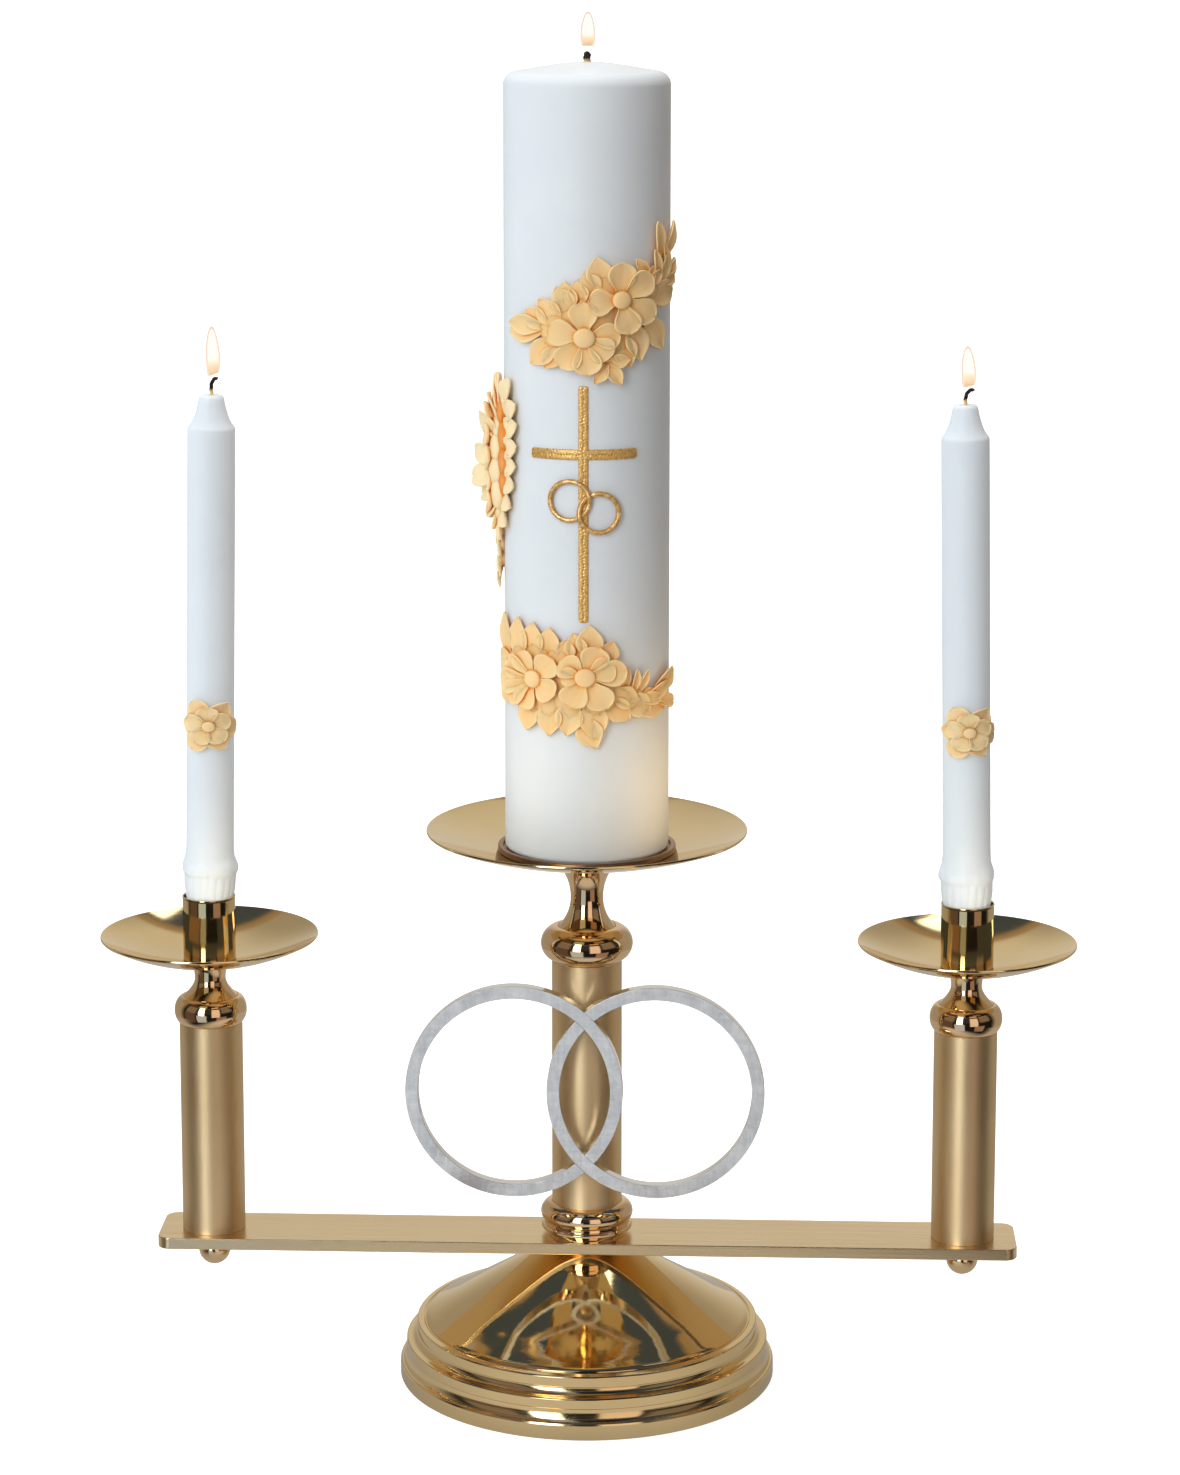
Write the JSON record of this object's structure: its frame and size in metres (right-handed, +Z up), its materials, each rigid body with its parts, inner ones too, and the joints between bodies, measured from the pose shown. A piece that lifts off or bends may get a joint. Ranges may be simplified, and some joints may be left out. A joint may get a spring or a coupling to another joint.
{
  "type": "unity candle",
  "caption": "Brass wedding candelabra: stepped cone base, flat cross bar, drip pans and interlocking rings, holding a flower-trimmed pillar candle between slim tapers.",
  "frame": {"origin": "centre of the base where the felt meets the table", "axes": "+Z up, +X along the cross bar to the right as seen from the front, the front with the rings and cross faces -Y"},
  "size_m": [0.4584, 0.1778, 0.627],
  "materials": {
    "polished_brass": "polished",
    "satin_brass": "satin, fine lengthwise brushing",
    "bronze_seat": "satin, browned",
    "silver_plate": "brushed flat faces",
    "steel": "zinc plated",
    "cast_iron": "raw casting",
    "felt": "wool felt",
    "white_wax": "smooth candle wax, slightly translucent",
    "peach_wax": "moulded sheet wax",
    "gold_leaf": "gold foil on embossed wax",
    "wick": "charred braided cotton"
  },
  "bodies": {
    "stand": {"base_felt": "felt", "base_shell": "polished_brass", "base_weight": "cast_iron", "base_washer": "steel", "base_nut": "steel", "draw_rod": "steel", "crossbar": "satin_brass", "lower_collar": "polished_brass", "centre_column": "satin_brass", "upper_collar": "polished_brass", "centre_neck": "polished_brass", "centre_pan": "polished_brass", "candle_seat": "bronze_seat", "seat_screw": "steel", "left_ring": "silver_plate", "right_ring": "silver_plate", "ring_studs": "silver_plate", "left_column": "satin_brass", "left_collar": "polished_brass", "left_neck": "polished_brass", "left_pan": "polished_brass", "left_socket": "polished_brass", "left_tie_rod": "steel", "left_ball_nut": "polished_brass", "right_column": "satin_brass", "right_collar": "polished_brass", "right_neck": "polished_brass", "right_pan": "polished_brass", "right_socket": "polished_brass", "right_tie_rod": "steel", "right_ball_nut": "polished_brass"},
    "pillar_candle": {"pillar_wax": "white_wax", "pillar_wick": "wick", "upper_spray": "peach_wax", "side_spray": "peach_wax", "lower_spray": "peach_wax", "wax_cross": "gold_leaf", "wax_rings": "gold_leaf"},
    "left_taper": {"left_taper_wax": "white_wax", "left_taper_wick": "wick", "left_taper_flower": "peach_wax"},
    "right_taper": {"right_taper_wax": "white_wax", "right_taper_wick": "wick", "right_taper_flower": "peach_wax"}
  },
  "joints": [
    {"name": "pillar_lift", "type": "slide", "parent": "stand", "child": "pillar_candle", "axis": [0, 0, 1], "range_m": [0, 0.05]},
    {"name": "left_taper_lift", "type": "slide", "parent": "stand", "child": "left_taper", "axis": [0.0192, 0, 0.9998], "range_m": [0, 0.045]},
    {"name": "right_taper_lift", "type": "slide", "parent": "stand", "child": "right_taper", "axis": [-0.0192, 0, 0.9998], "range_m": [0, 0.045]}
  ]
}
